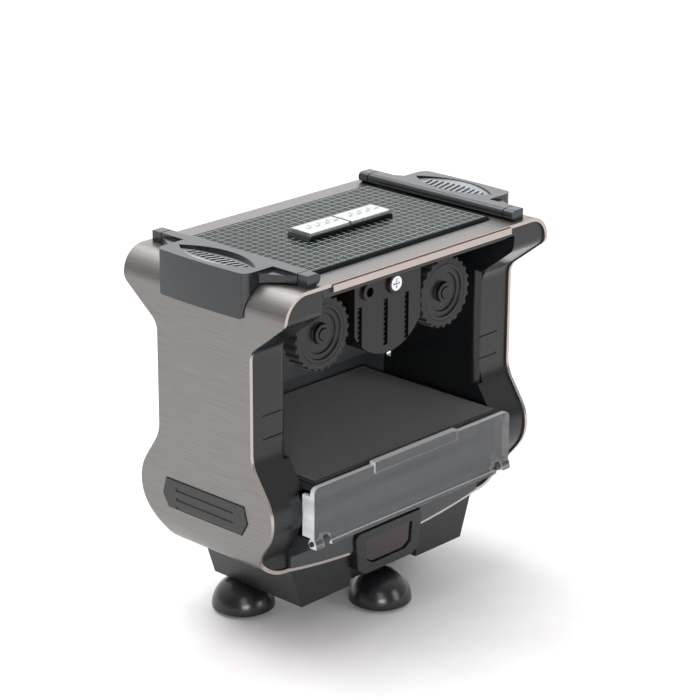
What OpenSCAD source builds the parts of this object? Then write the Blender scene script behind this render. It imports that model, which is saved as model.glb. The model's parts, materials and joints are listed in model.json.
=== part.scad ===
// Automatic card shuffler: a brushed steel band bent round a card chamber that is open at the front,
// with black side frames, a lift-up lid over the battery well in each top corner, a motor with two
// pairs of ribbed feed wheels under the top, a sprung card platform, a clear swing-down gate,
// and a black base with a push latch on three round feet.
// Millimetres. Z is up from the floor, X is the long way, the open front faces -Y.

/* [Body] */
// Width over the steel band
body_w = 124; // [112:1:140]
// Height of the steel top face above the floor
top_z = 126; // [118:1:140]
// Thickness of the steel band
band_t = 1.2; // [0.8:0.1:2]
// Depth of the band across the top
top_depth = 74; // [68:1:84]
// Depth of the band across the waist
waist_depth = 41.6; // [38:0.2:48]
// Depth of the band across the lower flare
flare_depth = 61; // [56:0.5:68]
// Outside radius of the top corners
corner_r = 9; // [6:0.5:12]

/* [Card chamber] */
// Length of a playing card
card_l = 88.9; // [86:0.1:92]
// Width of a playing card
card_w = 63.5; // [56:0.1:65]
// Play all round a card in the chamber
card_play = 0.9; // [0.4:0.1:2]
// Height of the empty platform above the floor
platform_z = 60; // [56:0.5:64]
// How far the platform sinks under a full pack
platform_travel = 14; // [10:0.5:15]
// Thickness of the platform plate
platform_t = 2.4; // [1.6:0.1:3.5]

/* [Gate] */
// Height of the clear gate
gate_h = 20.5; // [17:0.5:24]
// Thickness of the clear gate
gate_t = 1.8; // [1.2:0.1:3]
// Width of the thicker finger tab on the gate
tab_w = 40; // [20:1:60]

/* [Lids] */
// Length of each lid along its hinge
lid_l = 60.2; // [54:0.2:62]
// Length of the lid skirt at its lower edge
skirt_l = 39.6; // [30:0.2:44]
// How far the skirt reaches below the steel top
skirt_drop = 11; // [8:0.5:14]
// Radius of the hinge barrel
barrel_r = 1.75; // [1.4:0.05:2.2]
// Radius of the hinge pin
pin_r = 0.8; // [0.5:0.05:1.2]

/* [Top] */
// Width of the grid plate
plate_w = 84; // [70:1:88]
// Depth of the grid plate
plate_d = 55; // [44:1:60]
// Height of the grid plate
plate_h = 1.2; // [0.8:0.1:2]
// Length of the badge
badge_l = 38; // [28:1:50]

/* [Feed] */
// Distance of each wheel axis from the middle
wheel_x = 29; // [27:0.5:31]
// Radius over the wheel tyres
wheel_r = 12.2; // [10:0.1:12.6]
// Width of one tyre
tyre_w = 6; // [4:0.2:8]
// Number of grip ribs round a tyre
rib_count = 24; // [12:1:36]
// Radius of the wheel shafts
shaft_r = 2; // [1.5:0.1:3]
// Half width of the motor housing
pod_w = 15.6; // [12:0.2:16.2]
// Radius of the motor can
motor_r = 9.5; // [7:0.1:10]
// Teeth on the motor pinion
pinion_teeth = 10; // [8:1:14]

/* [Base] */
// Length of the base under the steel
base_l = 92; // [80:1:100]
// Radius of the round feet
foot_r = 10; // [8:0.5:12]
// Width of the latch frame
latch_w = 32; // [26:1:38]
// Height of the latch frame
latch_h = 15; // [12:0.5:18]
// Travel of the latch button
button_travel = 1.6; // [1:0.1:2.4]

/* [Fits] */
// Running clearance of a pin or shaft in its bore
run_fit = 0.05; // [0.02:0.01:0.1]
// Clearance between parts that move past each other
gap = 0.3; // [0.2:0.05:0.6]

/* [Hidden] */
$fn = 64;

hw = body_w / 2;                       // outer face of the band
iw = hw - band_t;                      // inner face of the band
cx = card_l / 2 + card_play;           // half width of the card chamber
cy = card_w / 2 + 0.35;                // inner face of the gate, from the middle
wy = waist_depth / 2;
ty = top_depth / 2;
fy = flare_depth / 2;
belly_r = 16;                          // lower corner radius of the band
belly_z = top_z - 103.5;               // lowest line of the band
belly_c = 266;                         // radius of the shallow belly
side_z = belly_z + 4 + belly_r;        // where the straight sides end
hx = cx + 1.45;                        // lid hinge axis, from the middle
hz = top_z + barrel_r + 0.2;           // lid hinge axis height
well_z = top_z - 51;                   // floor of the battery wells
lid_x = hw + 1.4;                      // outer face of the lids
lid_r = 4;                             // their corners, seen from above
arm_h = 2.7;                           // top of the lid arms over the steel
cell_r = 5.25;
cell_h = 44.5;
wz = top_z - 23.6;                     // wheel axis height
hub_r = wheel_r - 2.4;
gear_y = 14.4;                         // front face of the gear train
gear_t = 3;
drive_teeth = 3 * pinion_teeth;
idler_teeth = 28;
gear_m = 2 * wheel_x / (pinion_teeth + 2 * idler_teeth + drive_teeth);
pinion_r = gear_m * pinion_teeth / 2;
drive_r = gear_m * drive_teeth / 2;
idler_r = gear_m * idler_teeth / 2;
idler_x = pinion_r + idler_r;
pod_y = -21;                           // front face of the motor pod
floor_z = platform_z - platform_t - platform_travel - 3.2;
gate_top = platform_z - 0.8;
gate_z = gate_top - gate_h;
gate_hy = -(cy + gate_t / 2);          // gate hinge axis
gate_hz = gate_z + 1.6;
ear_x = cx - 3.6;                      // gate hinge ears, from the middle
latch_z = belly_z - 0.2;
latch_y = -(wy + 1.9);                 // front face of the latch frame
rear_y = wy - 0.4;

screw_x = 26.4;                        // base screws, from the middle
foot_y = 10.8;                         // rear feet, from the middle

// ---- shared shapes ----
module xz(y0, y1) {
  translate([0, y1, 0]) rotate([90, 0, 0]) linear_extrude(y1 - y0) children();
}
module yz(x0, x1) {
  translate([x0, 0, 0]) rotate([90, 0, 90]) linear_extrude(x1 - x0) children();
}
module ycyl(x, z, r, y0, y1) {
  translate([x, y1, z]) rotate([90, 0, 0]) cylinder(r = r, h = y1 - y0);
}
module xcyl(y, z, r, x0, x1) {
  translate([x0, y, z]) rotate([0, 90, 0]) cylinder(r = r, h = x1 - x0);
}
module zcyl(x, y, r, z0, z1) {
  translate([x, y, z0]) cylinder(r = r, h = z1 - z0);
}
module box(x0, x1, y0, y1, z0, z1) {
  translate([x0, y0, z0]) cube([x1 - x0, y1 - y0, z1 - z0]);
}
module flip_x() {
  mirror([1, 0, 0]) children();
}

// arc points that round the corner b between a and c with radius r
function unit(v) = v / norm(v);
function turn(a, b) = (b - a + 540) % 360 - 180;
function fillet(a, b, c, r, n) =
  let (u = unit(a - b), w = unit(c - b), h = acos(u * w) / 2,
       m = b + unit(u + w) * r / sin(h),
       s = b + u * r / tan(h) - m, e = b + w * r / tan(h) - m,
       t0 = atan2(s[1], s[0]), dt = turn(t0, atan2(e[1], e[0])))
  [for (i = [0:n]) m + r * [cos(t0 + dt * i / n), sin(t0 + dt * i / n)]];
// the open line p with its inner corners rounded
function rounded(p, r, n = 7) =
  concat([p[0]],
         [for (i = [1:len(p) - 2]) for (q = fillet(p[i - 1], p[i], p[i + 1], r[i], n)) q],
         [p[len(p) - 1]]);

// half of the hourglass side outline, set in by e
function half_hourglass(e) = [
  [ty - e, top_z + 6],
  [ty - 1.2 - e, top_z - 9.8],
  [wy - e, top_z - 21.4],
  [wy - e, top_z - 58.5],
  [fy + 2.4 - e, top_z - 76.5],
  [wy + 0.2 - e, top_z - 93],
  [wy + 0.2 - e, belly_z - 6]
];
module hourglass(e) {
  q = rounded(half_hourglass(e), [0, 4, 6, 12, 14, 6, 0]);
  polygon(concat(q, [for (i = [len(q) - 1:-1:0]) [-q[i][0], q[i][1]]]));
}

// the band outline seen from the front, set in by e
module band_outline(e) {
  translate([-(hw - e), side_z]) square([2 * (hw - e), top_z - corner_r - side_z]);
  translate([-(hw - corner_r), side_z]) square([2 * (hw - corner_r), top_z - e - side_z]);
  for (s = [-1, 1]) {
    translate([s * (hw - corner_r), top_z - corner_r]) circle(r = corner_r - e);
    translate([s * (hw - belly_r), side_z]) circle(r = belly_r - e);
  }
  intersection() {
    translate([0, belly_z + belly_c]) circle(r = belly_c - e, $fn = 720);
    translate([-(hw - belly_r), belly_z - 2]) square([2 * (hw - belly_r), belly_r + 6.5]);
  }
}

module gear(x, z, r, teeth, y0, y1, bore) {
  difference() {
    union() {
      ycyl(x, z, r - 0.95, y0, y1);
      translate([x, y1, z]) rotate([90, 0, 0]) linear_extrude(y1 - y0)
        for (i = [0:teeth - 1]) rotate(i * 360 / teeth)
          polygon([[r - 1.4, -0.62 * r * 3.1416 / teeth], [r - 0.2, -0.26 * r * 3.1416 / teeth],
                   [r - 0.2, 0.26 * r * 3.1416 / teeth], [r - 1.4, 0.62 * r * 3.1416 / teeth]]);
    }
    ycyl(x, z, bore, y0 - 1, y1 + 1);
  }
}

module coil(x, y, r, wire, z0, z1, turns) {
  n = turns * 2;
  for (i = [0:n - 1]) {
    z = z0 + wire + (z1 - z0 - 2 * wire) * i / (n - 1);
    translate([x, y, z]) rotate_extrude($fn = 32) translate([r, 0]) circle(r = wire, $fn = 16);
  }
  for (s = [-1, 1]) zcyl(x + s * r, y, wire * 0.8, z0 + wire, z1 - wire);
}

// ---- steel band ----
module steel_band() {
  color([0.72, 0.71, 0.7])
  difference() {
    union() {
      intersection() {
        xz(-50, 50) difference() {
          band_outline(0);
          band_outline(band_t);
        }
        yz(-hw - 1, hw + 1) hourglass(0);
      }
      for (s = [-1, 1])
        box(-42, 42, s * (ty - band_t / 2) - band_t / 2, s * (ty - band_t / 2) + band_t / 2,
            top_z - 2.8, top_z - band_t / 2);
    }
    for (s = [-1, 1]) {
      box(s * (iw + 4.5) - 8.1, s * (iw + 4.5) + 8.1, -12.6, 12.6, top_z - 8.6, top_z + 1);
      box(s * (cx + 8.5) - 5.6, s * (cx + 8.5) + 5.6, -12.6, 12.6, top_z - 8.6, top_z + 1);
      yz(s * hw - 4, s * hw + 4) insert_outline(0.15);
    }
    box(-latch_w / 2 - 0.15, latch_w / 2 + 0.15, -wy - 3, -wy + 4.2, belly_z - 3, belly_z + 8);
    for (s = [-1, 1]) zcyl(s * screw_x, 0, 1.2, belly_z - 4, belly_z + 6);
  }
}

module insert_outline(e) {
  polygon([[-(17.6 + e), top_z - 73 + e], [17.6 + e, top_z - 73 + e], [19.2 + e, top_z - 78.5],
           [16.6 + e, side_z + 0.6 - e], [-(16.6 + e), side_z + 0.6 - e], [-(19.2 + e), top_z - 78.5]]);
}

// ---- side frames ----
module frame_side() {
  difference() {
    union() {
      intersection() {
        xz(-40, 40) band_outline(band_t + 0.02);
        yz(0, hw) hourglass(0.7);
        union() {
          box(cx, hw, -40, 40, top_z - 20, top_z);
          box(cx, hw, -40, 40, belly_z + 4.8, top_z - 60);
          box(cx + 2.5, hw, -40, 40, belly_z + 6, top_z - 12);
          box(cx, hw, -(wy - 3.2), wy - 3.2, belly_z + 6, top_z - 12);
          for (s = [-1, 1]) zcyl(cx + 2.5, s * (wy - 3.2), 2.5, belly_z + 6, top_z - 12);
        }
      }
      yz(iw - 0.5, hw + 0.2) insert_seat();
    }
    // battery well, open at the top
    box(cx + 1.6, iw - 1, -12.2, 12.2, well_z, top_z + 1);
    box(cx + 1.6, hw, -12.2, 12.2, top_z - 8.4, top_z + 1);
    // moulding seams on the front and rear edges
    for (s = [-1, 1]) for (z = [82, 74.2])
      box(cx - 1, hw - 6, s * (wy - 0.7) - 0.35, s * (wy - 0.7) + 0.35, z, z + 0.5);
    // seats of the gate returns and of the rear wall cheeks
    box(cx - 1, cx + 2.2, -cy - 2, -wy - 1.2, belly_z, gate_top - 2.4);
    box(cx - 1, cx + 1.8, wy + 1.2, cy + 3, belly_z, platform_z + 9);
    // grooves that guide the platform tongues
    box(cx - 1, cx + 1.4, -4.3, 4.3, floor_z - 0.5, platform_z + 0.6);
  }
}
module insert_seat() {
  intersection() {
    insert_outline(-1.4);
    translate([-10, top_z - 84]) square([20, 4]);
  }
}
module side_frame_left() {
  color([0.16, 0.16, 0.17]) flip_x() frame_side();
}
module side_frame_right() {
  color([0.16, 0.16, 0.17]) frame_side();
}

module lower_insert() {
  difference() {
    yz(iw, hw + 0.5) insert_outline(0);
    yz(iw - 1, hw + 0.3) insert_seat();
    for (z = [top_z - 76, top_z - 79.2, top_z - 82.4])
      box(hw + 0.05, hw + 2, -13, 13, z - 0.5, z + 0.5);
  }
}
module lower_insert_left() {
  color([0.1, 0.1, 0.11]) flip_x() lower_insert();
}
module lower_insert_right() {
  color([0.1, 0.1, 0.11]) lower_insert();
}

// ---- top ----
module top_deck() {
  z1 = top_z - band_t;
  color([0.14, 0.14, 0.15])
  difference() {
    union() {
      box(-cx, cx, -(ty - band_t), ty - band_t, z1 - 3, z1);
      for (x = [-40, 40]) box(x - 0.8, x + 0.8, -32, 17, z1 - 5, z1 - 2.9);
      for (x = [-20, 20]) box(x - 0.8, x + 0.8, -32, -22.4, z1 - 5, z1 - 2.9);
      for (y = [-33, -29.4]) box(-44, 44, y - 0.5, y + 0.5, z1 - 4.4, z1 - 2.9);
    }
  }
}

module grid_plate() {
  color([0.32, 0.36, 0.37])
  difference() {
    intersection() {
      box(-plate_w / 2, plate_w / 2, -plate_d / 2, plate_d / 2, top_z, top_z + plate_h);
      xz(-plate_d, plate_d)
        polygon([[-plate_w / 2, top_z - 1], [plate_w / 2, top_z - 1], [plate_w / 2, top_z + 0.5],
                 [plate_w / 2 - 0.8, top_z + 2], [-plate_w / 2 + 0.8, top_z + 2],
                 [-plate_w / 2, top_z + 0.5]]);
      yz(-plate_w, plate_w)
        polygon([[-plate_d / 2, top_z - 1], [plate_d / 2, top_z - 1], [plate_d / 2, top_z + 0.4],
                 [plate_d / 2 - 1.4, top_z + 2], [-plate_d / 2 + 1.4, top_z + 2],
                 [-plate_d / 2, top_z + 0.4]]);
    }
  }
}

badge_z = top_z + plate_h;
module badge_plinth() {
  color([0.08, 0.08, 0.09])
  xz(-4.9, 4.9)
    polygon([[-badge_l / 2 - 0.8, badge_z], [badge_l / 2 + 0.8, badge_z],
             [badge_l / 2, badge_z + 1.5], [-badge_l / 2, badge_z + 1.5]]);
}
module badge_bar(x0, x1) {
  z0 = badge_z + 1.5;
  difference() {
    intersection() {
      xz(-4.4, 4.4)
        polygon([[x0, z0], [x1, z0], [x1, z0 + 1.1], [x1 - 0.8, z0 + 1.9],
                 [x0 + 0.8, z0 + 1.9], [x0, z0 + 1.1]]);
      yz(x0 - 1, x1 + 1)
        polygon([[-4.4, z0 - 1], [4.4, z0 - 1], [4.4, z0 + 0.9], [3.2, z0 + 1.9],
                 [-3.2, z0 + 1.9], [-4.4, z0 + 0.9]]);
    }
    for (y = [-1.3, 1.3]) box(x0 + 1.6, x1 - 1.6, y - 0.35, y + 0.35, z0 + 1.5, z0 + 3);
  }
}
module badge_bar_left() {
  color([0.86, 0.88, 0.9]) badge_bar(-badge_l / 2 + 0.4, -0.5);
}
module badge_bar_right() {
  color([0.86, 0.88, 0.9]) badge_bar(0.5, badge_l / 2 - 0.4);
}

// ---- lids ----
module lid_outline() {
  difference() {
    union() {
      translate([hx, hz]) circle(r = barrel_r);
      translate([hx, top_z - skirt_drop]) square([lid_x - hx, skirt_drop + hz + barrel_r - top_z]);
    }
    // hollow that clears the band
    translate([hx - 5, top_z - 30]) square([hw - corner_r - hx + 5, 30 + gap]);
    translate([hw - corner_r, top_z - 30]) square([corner_r + gap, 30 - corner_r]);
    translate([hw - corner_r, top_z - corner_r]) circle(r = corner_r + gap);
  }
}
// seen from above: rounded corners and a slightly bowed outer face
module lid_plan() {
  h = skirt_l / 2;
  intersection() {
    union() {
      translate([hx, -h]) square([lid_x - lid_r - hx, 2 * h]);
      translate([hx, -h + lid_r]) square([lid_x - hx, 2 * (h - lid_r)]);
      for (s = [-1, 1]) translate([lid_x - lid_r, s * (h - lid_r)]) circle(r = lid_r);
    }
    translate([lid_x - 260, 0]) circle(r = 260, $fn = 720);
  }
}
module lid() {
  h = skirt_l / 2;
  z0 = top_z - skirt_drop;
  difference() {
    union() {
      // block over the corner of the band
      intersection() {
        xz(-30, 30) lid_outline();
        translate([0, 0, z0]) linear_extrude(30) lid_plan();
        yz(0, hw + 5)
          polygon([[-h + 2.4, z0], [h - 2.4, z0], [h - 0.6, z0 + 0.9], [h, z0 + 2.6], [h, top_z + 9],
                   [-h, top_z + 9], [-h, z0 + 2.6], [-h + 0.6, z0 + 0.9]]);
      }
      // arms that taper to the hinges
      intersection() {
        xz(-lid_l / 2, lid_l / 2) lid_outline();
        translate([0, 0, top_z - 4]) linear_extrude(4 + arm_h)
          polygon([[hx, -lid_l / 2], [hx + 4, -lid_l / 2], [hx + 9.8, -h], [hx + 9.8, h],
                   [hx + 4, lid_l / 2], [hx, lid_l / 2]]);
      }
      ycyl(hx, hz, barrel_r, -lid_l / 2, lid_l / 2);
      box(hx, hx + 4, -lid_l / 2, lid_l / 2, top_z + gap, hz + barrel_r);
    }
    ycyl(hx, hz, pin_r + run_fit, -40, 40);
    // thumb scoop, deepest at its inner side
    intersection() {
      translate([0, 0, top_z + 1]) linear_extrude(6) thumb_lens();
      scoop_floor() box(-40, 20, -30, 30, 0, 10);
    }
  }
  // grip ridges in the scoop
  for (i = [-5:5])
    scoop_floor()
      box(-6.2 - 0.5 * lens_w(i * 2.3), -6.2 + 0.5 * lens_w(i * 2.3), i * 2.3 - 0.45, i * 2.3 + 0.45,
          -0.3, 0.45);
}
function lens_w(y) = sqrt(27 * 27 - y * y) - 21;
module scoop_floor() {
  translate([lid_x - 1.9, 0, hz + barrel_r - 0.3]) rotate([0, -8, 0]) children();
}
module thumb_lens() {
  intersection() {
    translate([lid_x - 8 - 21, 0]) circle(r = 27, $fn = 160);
    translate([lid_x - 8 + 21, 0]) circle(r = 27, $fn = 160);
  }
}
module lid_left() {
  color([0.3, 0.32, 0.34]) flip_x() lid();
}
module lid_right() {
  color([0.3, 0.32, 0.34]) lid();
}
module lid_pins() {
  color([0.75, 0.75, 0.76])
  for (s = [-1, 1]) ycyl(s * hx, hz, pin_r, -lid_l / 2 - 3.2, lid_l / 2 + 3.2);
}
module hinge_blocks() {
  color([0.28, 0.3, 0.32])
  for (s = [-1, 1]) for (t = [-1, 1])
    difference() {
      union() {
        ycyl(s * hx, hz, barrel_r, t * (lid_l / 2 + gap + 2) - 2, t * (lid_l / 2 + gap + 2) + 2);
        box(s * (hx + 2) - 2, s * (hx + 2) + 2, t * (lid_l / 2 + gap + 2) - 2,
            t * (lid_l / 2 + gap + 2) + 2, top_z, hz + barrel_r);
      }
      ycyl(s * hx, hz, pin_r, -lid_l / 2 - 3.2, lid_l / 2 + 3.2);
    }
}

// ---- batteries ----
cell_x = (cx + 1.6 + iw - 1) / 2;
module battery_cells() {
  color([0.2, 0.35, 0.55])
  for (s = [-1, 1]) for (y = [-6, 6]) {
    zcyl(s * cell_x, y, cell_r, well_z + 3.2, well_z + 3.2 + cell_h - 1.4);
    zcyl(s * cell_x, y, 1.9, well_z + 3.2 + cell_h - 1.5, well_z + 3.2 + cell_h);
  }
}
module battery_springs() {
  color([0.8, 0.78, 0.7])
  for (s = [-1, 1]) for (y = [-6, 6]) {
    for (i = [0:2]) translate([s * cell_x, y, well_z + 1.08 + i * 0.82])
      rotate_extrude($fn = 40) translate([3.6 - i * 0.4, 0]) circle(r = 0.46, $fn = 12);
  }
}
module battery_contacts() {
  color([0.8, 0.78, 0.7])
  for (s = [-1, 1]) {
    box(s * cell_x - 4.6, s * cell_x + 4.6, -10.8, 10.8, well_z, well_z + 0.6);
  }
}

// ---- rear wall ----
module rear_wall() {
  color([0.13, 0.13, 0.14])
  difference() {
    union() {
      box(-cx, cx, rear_y - 2.2, rear_y, platform_z + 12, top_z - band_t - 3);
      box(-cx, cx, cy, cy + 2, floor_z + 0.02, platform_z + 6);
      yz(-cx, cx)
        polygon([[rear_y - 2.2, platform_z + 12.5], [rear_y, platform_z + 12.5],
                 [cy + 2, platform_z + 7], [cy + 2, platform_z + 4], [cy, platform_z + 5.6],
                 [rear_y - 2.2, platform_z + 10.8]]);
    }
    for (x = [-30:10:30]) box(x - 1, x + 1, rear_y - 0.5, rear_y + 1, platform_z + 14, top_z - 14);
  }
  color([0.13, 0.13, 0.14])
  for (s = [-1, 1])
    yz(s * (cx + 0.9) - 0.9, s * (cx + 0.9) + 0.9)
      polygon([[wy + 1.3, floor_z - 2], [cy + 2, floor_z - 2], [cy + 2, platform_z + 7],
               [rear_y, platform_z + 12.5], [rear_y, platform_z + 9.1], [wy + 1.3, platform_z + 9]]);
}

// ---- feed mechanism ----
module bearing_plate(y0, y1) {
  for (s = [-1, 1]) {
    ycyl(s * wheel_x, wz, shaft_r + 2.6, y0, y1);
    box(s * wheel_x - shaft_r - 2.6, s * wheel_x + shaft_r + 2.6, y0, y1, wz, top_z - band_t - 3);
  }
}
module mechanism_frame() {
  color([0.18, 0.18, 0.19])
  difference() {
    union() {
      bearing_plate(-11, -8.4);
      bearing_plate(4.4, 7);
      box(-wheel_x, wheel_x, -8.6, 4.6, top_z - band_t - 6, top_z - band_t - 3);
    }
    for (s = [-1, 1]) ycyl(s * wheel_x, wz, shaft_r + run_fit, -30, 30);
  }
}
module pod_outline(e) {
  translate([-(pod_w - e), wz - 2]) square([2 * (pod_w - e), top_z - band_t - 6 - e - wz + 2]);
  intersection() {
    translate([0, wz + 5]) circle(r = 18.2 - e);
    translate([-(pod_w - e), wz - 20]) square([2 * (pod_w - e), 30]);
  }
}
module motor_pod() {
  color([0.2, 0.18, 0.17])
  difference() {
    union() {
      xz(pod_y, gear_y - 1.2) pod_outline(0);
      ycyl(3.2, top_z - 14, 3.6, pod_y - 1, pod_y + 2);
      ycyl(-9.5, top_z - 14, 3, pod_y - 1, pod_y + 2);
    }
    // motor bed
    ycyl(0, wz, motor_r + 0.02, -15, gear_y - 2.6);
    ycyl(0, wz, 3.4, gear_y - 5, gear_y + 1);
    // screw head seat, blind hole and slots with grip teeth
    ycyl(3.2, top_z - 14, 2.6, pod_y - 2, pod_y + 0.5);
    ycyl(3.2, top_z - 14, 1.1, pod_y - 2, pod_y + 5);
    ycyl(-9.5, top_z - 14, 1.6, pod_y - 2, pod_y + 3);
    for (x = [-13.2, -1, 9])
      difference() {
        box(x - 1, x + 1, pod_y - 1, pod_y + 1.6, top_z - 34, top_z - 18.4);
        for (i = [0:8])
          box(x - 1.1, x + 0.3, pod_y + 0.5, pod_y + 1.8, top_z - 33.4 + i * 1.7,
              top_z - 32.6 + i * 1.7);
      }
  }
}
module pod_screws() {
  color([0.85, 0.85, 0.86])
  difference() {
    union() {
      ycyl(3.2, top_z - 14, 1.1, pod_y, pod_y + 4.9);
      ycyl(3.2, top_z - 14, 2.5, pod_y - 0.9, pod_y + 0.5);
    }
    box(3.2 - 1.5, 3.2 + 1.5, pod_y - 2, pod_y - 0.1, top_z - 14.25, top_z - 13.75);
    box(3.2 - 0.25, 3.2 + 0.25, pod_y - 2, pod_y - 0.1, top_z - 15.5, top_z - 12.5);
  }
}
module motor() {
  color([0.7, 0.7, 0.72]) {
    ycyl(0, wz, motor_r, -14.9, gear_y - 2.6);
    ycyl(0, wz, 3.3, gear_y - 2.7, gear_y - 1.4);
  }
}
module motor_pinion() {
  color([0.8, 0.7, 0.4]) {
    gear(0, wz, pinion_r, pinion_teeth, gear_y, gear_y + gear_t, 0.7);
    ycyl(0, wz, 0.75, gear_y - 1.4 + run_fit, gear_y + gear_t + 0.5);
  }
}
module idler() {
  gear(idler_x, wz, idler_r, idler_teeth, gear_y, gear_y + gear_t, 1.2 + run_fit);
}
module idler_gear_left() {
  color([0.9, 0.9, 0.86]) flip_x() idler();
}
module idler_gear_right() {
  color([0.9, 0.9, 0.86]) idler();
}
module idler_pins() {
  color([0.75, 0.75, 0.76])
  for (s = [-1, 1]) {
    ycyl(s * idler_x, wz, 1.2, gear_y - 1.2, gear_y + gear_t + 0.4);
    ycyl(s * idler_x, wz, 2.2, gear_y - 1.2, gear_y - gap);
  }
}
module feed_shaft() {
  ycyl(wheel_x, wz, shaft_r, -20.6, gear_y + gear_t + 0.3);
}
module feed_shaft_left() {
  color([0.78, 0.78, 0.8]) flip_x() feed_shaft();
}
module feed_shaft_right() {
  color([0.78, 0.78, 0.8]) feed_shaft();
}
wheels_y = [-19.8, 7.4];
module feed_hubs() {
  for (y = wheels_y)
    difference() {
      union() {
        ycyl(wheel_x, wz, hub_r, y, y + tyre_w);
      }
      ycyl(wheel_x, wz, shaft_r, -30, 30);
      ycyl(wheel_x, wz, hub_r - 1.4, y - 1, y + 0.6);
      ycyl(wheel_x, wz, hub_r - 3.2, y - 1, y + 1.2);
    }
  for (y = wheels_y)
    difference() {
      ycyl(wheel_x, wz, 3.4, y - 0.4, y + 2);
      ycyl(wheel_x, wz, shaft_r, -30, 30);
    }
}
module feed_hubs_left() {
  color([0.25, 0.26, 0.28]) flip_x() feed_hubs();
}
module feed_hubs_right() {
  color([0.25, 0.26, 0.28]) feed_hubs();
}
module feed_tyres() {
  for (y = wheels_y)
    difference() {
      translate([wheel_x, y + tyre_w, wz]) rotate([90, 0, 0]) linear_extrude(tyre_w)
        union() {
          circle(r = wheel_r - 0.7, $fn = 96);
          for (i = [0:rib_count - 1]) rotate(i * 360 / rib_count)
            translate([wheel_r - 1.2, -0.7]) square([1.2, 1.4]);
        }
      ycyl(wheel_x, wz, hub_r, y - 1, y + tyre_w + 1);
    }
}
module feed_tyres_left() {
  color([0.08, 0.08, 0.08]) flip_x() feed_tyres();
}
module feed_tyres_right() {
  color([0.08, 0.08, 0.08]) feed_tyres();
}
module drive_gear_left() {
  color([0.9, 0.9, 0.86]) flip_x() gear(wheel_x, wz, drive_r, drive_teeth, gear_y, gear_y + gear_t, shaft_r);
}
module drive_gear_right() {
  color([0.9, 0.9, 0.86]) gear(wheel_x, wz, drive_r, drive_teeth, gear_y, gear_y + gear_t, shaft_r);
}

// ---- platform ----
spring_x = 31;
spring_r = 3.6;
module card_platform() {
  z1 = platform_z - 1;
  color([0.16, 0.17, 0.18]) {
    box(-cx + gap, cx - gap, -cy + 0.4, cy - 0.4, z1 - platform_t, z1);
    for (s = [-1, 1])
      box(s * (cx + 0.3) - 0.75, s * (cx + 0.3) + 0.75, -4, 4, z1 - platform_t, z1);
  }
}
module platform_pad() {
  color([0.1, 0.11, 0.12])
  box(-cx + 1.6, cx - 1.6, -cy + 1.6, cy - 1.6, platform_z - 1, platform_z);
}
module platform_springs() {
  color([0.7, 0.7, 0.72])
  for (s = [-1, 1])
    coil(s * spring_x, 0, spring_r, 0.4, floor_z - 3, platform_z - 1 - platform_t, 5);
}

// ---- lower tray and gate ----
module lower_tray() {
  color([0.12, 0.12, 0.13])
  difference() {
    union() {
      box(-cx, cx, -cy + 1.3, cy, floor_z - 2.4, floor_z);
      intersection() {
        union() {
          yz(-cx, cx)
            polygon([[-cy + 1.3, floor_z], [-cy + 1.3, floor_z - 3.4], [-wy - 0.9, belly_z + 9.2],
                     [-wy - 0.9, belly_z - 2], [-wy + 3, belly_z - 2], [-wy + 3, floor_z]]);
          yz(-cx, cx)
            polygon([[cy, floor_z], [cy, floor_z - 3.4], [wy + 0.2, belly_z + 9.2],
                     [wy + 0.2, belly_z - 2], [wy - 3, belly_z - 2], [wy - 3, floor_z]]);
        }
        xz(-60, 60) band_outline(band_t + 0.02);
      }
      for (s = [-1, 1]) zcyl(s * spring_x, 0, spring_r + 2, floor_z - 4.4, floor_z);
      box(-cx, cx, cy - 0.2, cy + 2, floor_z - 2.4, floor_z);
      for (s = [-1, 1]) {
        xcyl(gate_hy, gate_hz, 1.5, s * ear_x - 1.3, s * ear_x + 1.3);
        box(s * ear_x - 1.3, s * ear_x + 1.3, gate_hy, -cy + 1.4, gate_hz - 1.5, floor_z);
      }
    }
    for (s = [-1, 1]) xcyl(gate_hy, gate_hz, pin_r, s * ear_x - 2, s * ear_x + 2);
    for (s = [-1, 1]) zcyl(s * spring_x, 0, spring_r + 0.8, floor_z - 3, floor_z + 1);
    box(-latch_w / 2 - 0.1, latch_w / 2 + 0.1, -wy - 4, -wy + 4.2, belly_z - 3,
        latch_z + latch_h / 2 + 0.1);
  }
}
module clear_gate() {
  y1 = -cy;
  y0 = -cy - gate_t;
  w = cx + 1.9;
  color([0.6, 0.62, 0.63, 0.5])
  difference() {
    union() {
      difference() {
        xz(y0, y1) difference() {
          translate([-w, gate_z]) square([2 * w, gate_h]);
        }
        for (s = [-1, 1]) difference() {
          box(s * w - 2, s * w + 2, y0 - 1, y1 + 1, gate_top - 2, gate_top + 1);
          ycyl(s * (w - 2), gate_top - 2, 2, y0 - 2, y1 + 2);
        }
      }
      box(-tab_w / 2, tab_w / 2, y0 - 0.7, y1, gate_top - 2.6, gate_top + 1.2);
      box(-w, w, y0 - 0.9, y1, gate_z, gate_z + 1.2);
      for (s = [-1, 1]) {
        box(s * (w - 0.7) - 0.7, s * (w - 0.7) + 0.7, y0, y1 + 3.4, gate_z + 3.4, gate_top - 3);
        xcyl(gate_hy, gate_hz, 1.6, s * (w - 2) - 2, s * (w - 2) + 2);
      }
    }
    for (s = [-1, 1]) {
      xcyl(gate_hy, gate_hz, pin_r + run_fit, s * w - 8, s * w + 8);
      box(s * ear_x - 1.6, s * ear_x + 1.6, y0 - 2, y1 + 4, gate_z - 1, gate_hz + 2);
    }
  }
}
module gate_pins() {
  color([0.75, 0.75, 0.76])
  for (s = [-1, 1]) xcyl(gate_hy, gate_hz, pin_r, s * (ear_x + 2.4) - 3.7, s * (ear_x + 2.4) + 3.7);
}

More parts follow.
